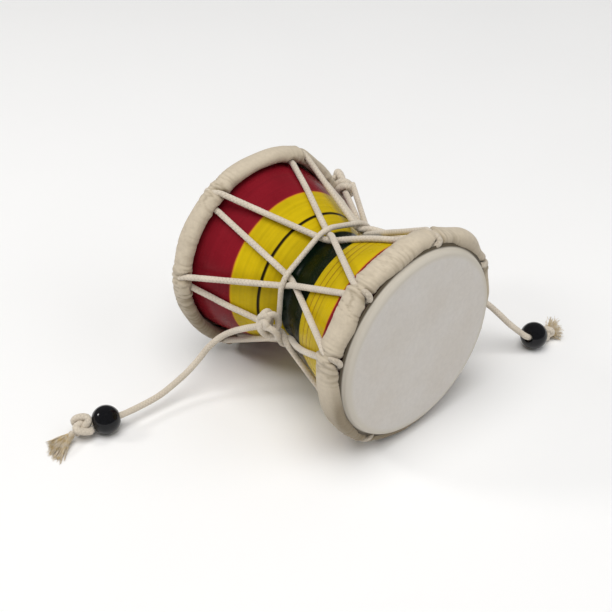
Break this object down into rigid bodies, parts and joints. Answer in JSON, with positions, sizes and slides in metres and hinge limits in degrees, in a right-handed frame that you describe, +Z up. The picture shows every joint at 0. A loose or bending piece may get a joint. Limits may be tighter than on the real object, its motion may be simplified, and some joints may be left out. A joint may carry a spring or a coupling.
{
  "type": "damaru drum",
  "caption": "Small hourglass hand drum lying on its side: turned wooden shell, flat skin heads, padded hoops laced to a waist cord, round bead strikers on free cords.",
  "frame": {"origin": "on the floor under the middle of the drum without its strikers, which lies on its side on its two hoops", "axes": "+X along the drum's axis towards the head that the picture shows, +Y across the drum away from the camera's side, +Z up"},
  "size_m": [0.1317, 0.2896, 0.1135],
  "materials": {
    "lacquered_wood": "glossy turned lacquer in crimson, yellow and dark green bands",
    "drum_skin": "matte, pale grey-white skin",
    "hoop_wrap": "matte cream hide over padding, with soft creases",
    "cotton_cord": "off-white braided cotton",
    "black_bead": "glossy black"
  },
  "bodies": {
    "root": {"shell": "lacquered_wood", "left_head": "drum_skin", "right_head": "drum_skin", "left_hoop": "hoop_wrap", "right_hoop": "hoop_wrap", "lacing_cord": "cotton_cord", "waist_cord": "cotton_cord", "left_striker_cord": "cotton_cord", "right_striker_cord": "cotton_cord", "left_bead": "black_bead", "right_bead": "black_bead", "left_tie_knot": "cotton_cord", "right_tie_knot": "cotton_cord", "left_end_knot": "cotton_cord", "right_end_knot": "cotton_cord"}
  },
  "joints": []
}
